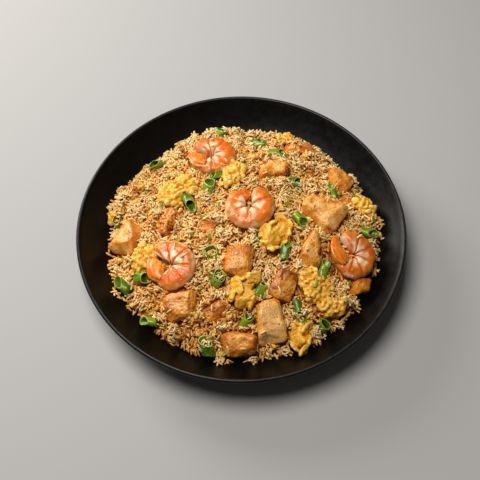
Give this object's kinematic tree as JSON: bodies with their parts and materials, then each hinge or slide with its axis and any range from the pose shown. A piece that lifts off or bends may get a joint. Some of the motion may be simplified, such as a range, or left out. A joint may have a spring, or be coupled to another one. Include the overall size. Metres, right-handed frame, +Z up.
{
  "type": "fried rice in a bowl",
  "caption": "Fried rice heaped in a shallow round black bowl, topped with curled shrimp, chicken pieces, scrambled egg and sliced spring onion.",
  "frame": {"origin": "middle of the bowl's foot, on the surface it stands on", "axes": "+Z up, square to the foot's flat face; +Y points from the side nearest the diner to the far side, +X to the diner's right"},
  "size_m": [0.28, 0.28, 0.063],
  "materials": {
    "black_glaze": "satin black glaze",
    "fried_rice": "oiled tan grains",
    "shrimp": "moist flesh with orange bands",
    "chicken": "browned and seasoned",
    "egg": "soft scrambled egg",
    "spring_onion": "moist green leaf"
  },
  "bodies": {
    "root": {"bowl": "black_glaze", "chicken_01": "chicken", "chicken_02": "chicken", "chicken_03": "chicken", "chicken_04": "chicken", "chicken_05": "chicken", "chicken_06": "chicken", "chicken_07": "chicken", "chicken_08": "chicken", "chicken_09": "chicken", "chicken_10": "chicken", "chicken_11": "chicken", "chicken_12": "chicken", "chicken_13": "chicken", "chicken_14": "chicken", "chicken_15": "chicken", "chicken_16": "chicken", "chicken_17": "chicken", "egg_01": "egg", "egg_02": "egg", "egg_03": "egg", "egg_04": "egg", "egg_05": "egg", "egg_06": "egg", "egg_07": "egg", "egg_08": "egg", "egg_09": "egg", "egg_10": "egg", "egg_11": "egg", "onion_01": "spring_onion", "onion_02": "spring_onion", "onion_03": "spring_onion", "onion_04": "spring_onion", "onion_05": "spring_onion", "onion_06": "spring_onion", "onion_07": "spring_onion", "onion_08": "spring_onion", "onion_09": "spring_onion", "onion_10": "spring_onion", "onion_11": "spring_onion", "onion_12": "spring_onion", "onion_13": "spring_onion", "onion_14": "spring_onion", "onion_15": "spring_onion", "onion_16": "spring_onion", "onion_17": "spring_onion", "onion_18": "spring_onion", "onion_19": "spring_onion", "onion_20": "spring_onion", "onion_21": "spring_onion", "onion_22": "spring_onion", "onion_23": "spring_onion", "onion_24": "spring_onion", "onion_25": "spring_onion", "rice": "fried_rice", "shrimp_1": "shrimp", "shrimp_2": "shrimp", "shrimp_3": "shrimp", "shrimp_4": "shrimp"}
  },
  "joints": []
}
